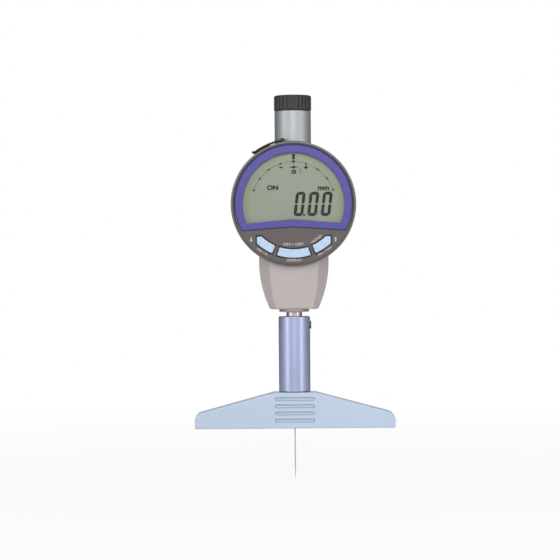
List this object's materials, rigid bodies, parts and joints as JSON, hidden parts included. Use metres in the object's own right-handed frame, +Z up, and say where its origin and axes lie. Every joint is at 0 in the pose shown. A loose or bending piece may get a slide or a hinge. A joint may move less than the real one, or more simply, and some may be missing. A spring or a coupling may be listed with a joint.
{
  "type": "depth gauge",
  "caption": "Digital depth gauge: a round display head with a tapering tail on a clamped stem, over a wide T-shaped base with grip slots, and a spring-loaded needle contact.",
  "frame": {"origin": "on the base's measuring face at the spindle's axis; the claimed point lies on the face just beside the needle's hole", "axes": "+Z up the spindle from the measuring face, the display faces -Y, +X to the viewer's right"},
  "size_m": [0.1014, 0.0306, 0.1944],
  "materials": {
    "base_steel": "satin ground steel",
    "sleeve_steel": "satin turned steel",
    "stem_steel": "turned steel",
    "spindle_steel": "ground steel",
    "needle_steel": "polished hardened steel",
    "screw_steel": "black oxide",
    "spring_steel": "drawn spring wire",
    "bright_steel": "bright nickel plate",
    "bronze": "sintered bronze",
    "casing_silver": "satin silver-grey paint on a zinc casting",
    "tube_silver": "satin silver paint",
    "cap_black": "moulded charcoal plastic",
    "panel_black": "warm charcoal, fine grain",
    "frame_blue": "printed violet-blue",
    "window_clear": "clear acrylic",
    "lcd_grey": "grey-green display glass",
    "key_blue": "pale blue silicone",
    "rubber_black": "black rubber",
    "inner_black": "moulded black plastic",
    "board_green": "solder-masked circuit board",
    "scale_amber": "scale plate"
  },
  "bodies": {
    "base_body": {"base": "base_steel", "stem_sleeve": "sleeve_steel"},
    "clamp_screw_body": {"clamp_screw": "screw_steel"},
    "head": {"casing": "casing_silver", "stem": "stem_steel", "lower_bush": "bronze", "back_cover": "casing_silver", "back_screw_1": "screw_steel", "back_screw_2": "screw_steel", "back_screw_3": "screw_steel", "back_screw_4": "screw_steel", "spindle_tube": "tube_silver", "upper_bush": "bronze", "guide_rod": "spindle_steel", "sensor_board": "board_green", "read_head": "inner_black", "board_screw_1": "screw_steel", "board_screw_2": "screw_steel", "port_socket": "inner_black", "port_cover_pin": "screw_steel", "return_spring": "spring_steel"},
    "display": {"display_housing": "panel_black", "blue_frame": "frame_blue", "window": "window_clear", "lcd": "lcd_grey", "display_board": "board_green", "key_mat": "rubber_black", "battery": "bright_steel", "battery_contact": "bright_steel", "display_back": "inner_black", "circlip": "bright_steel", "display_seal": "rubber_black"},
    "key_left_body": {"key_left": "key_blue"},
    "key_centre_body": {"key_centre": "key_blue"},
    "key_right_body": {"key_right": "key_blue"},
    "spindle_body": {"spindle": "spindle_steel", "stop_collar": "inner_black", "carriage": "inner_black", "scale_strip": "scale_amber", "contact_holder": "spindle_steel", "needle": "needle_steel"},
    "cap_lift_body": {"cap_seal": "rubber_black"},
    "cap_body": {"cap": "cap_black"},
    "port_cover_body": {"port_cover": "rubber_black"}
  },
  "joints": [
    {"name": "head_height", "type": "slide", "parent": "base_body", "child": "head", "axis": [0, 0, 1], "range_m": [-0.002, 0.008]},
    {"name": "clamp_screw_turn", "type": "hinge", "parent": "base_body", "child": "clamp_screw_body", "pos_m": [0.0065, 0, 0.0522], "axis": [1, 0, 0], "range_deg": [0, 360]},
    {"name": "spindle_slide", "type": "slide", "parent": "head", "child": "spindle_body", "axis": [0, 0, 1], "range_m": [0, 0.026], "stiffness_N_per_m": 20, "springref_m": -0.05, "deforming": ["return_spring"]},
    {"name": "display_turn", "type": "hinge", "parent": "head", "child": "display", "pos_m": [0, 0, 0.1135], "axis": [0, 1, 0], "range_deg": [-165, 165]},
    {"name": "key_left_press", "type": "slide", "parent": "display", "child": "key_left_body", "axis": [0, 1, 0], "range_m": [0, 0.0004], "stiffness_N_per_m": 600, "springref_m": -0.0004},
    {"name": "key_centre_press", "type": "slide", "parent": "display", "child": "key_centre_body", "axis": [0, 1, 0], "range_m": [0, 0.0004], "stiffness_N_per_m": 600, "springref_m": -0.0004},
    {"name": "key_right_press", "type": "slide", "parent": "display", "child": "key_right_body", "axis": [0, 1, 0], "range_m": [0, 0.0004], "stiffness_N_per_m": 600, "springref_m": -0.0004},
    {"name": "cap_lift", "type": "slide", "parent": "head", "child": "cap_lift_body", "axis": [0, 0, 1], "range_m": [0, 0.004]},
    {"name": "cap_turn", "type": "hinge", "parent": "cap_lift_body", "child": "cap_body", "pos_m": [0, 0, 0.1611], "axis": [0, 0, 1], "range_deg": [0, 1440]},
    {"name": "port_cover_swing", "type": "hinge", "parent": "head", "child": "port_cover_body", "pos_m": [-0.00541, -0.01055, 0.14585], "axis": [0, 1, 0], "range_deg": [0, 60]}
  ],
  "couplings": [
    {"joint": "cap_lift", "follows": "cap_turn", "m_per_rad": 0.000159}
  ]
}
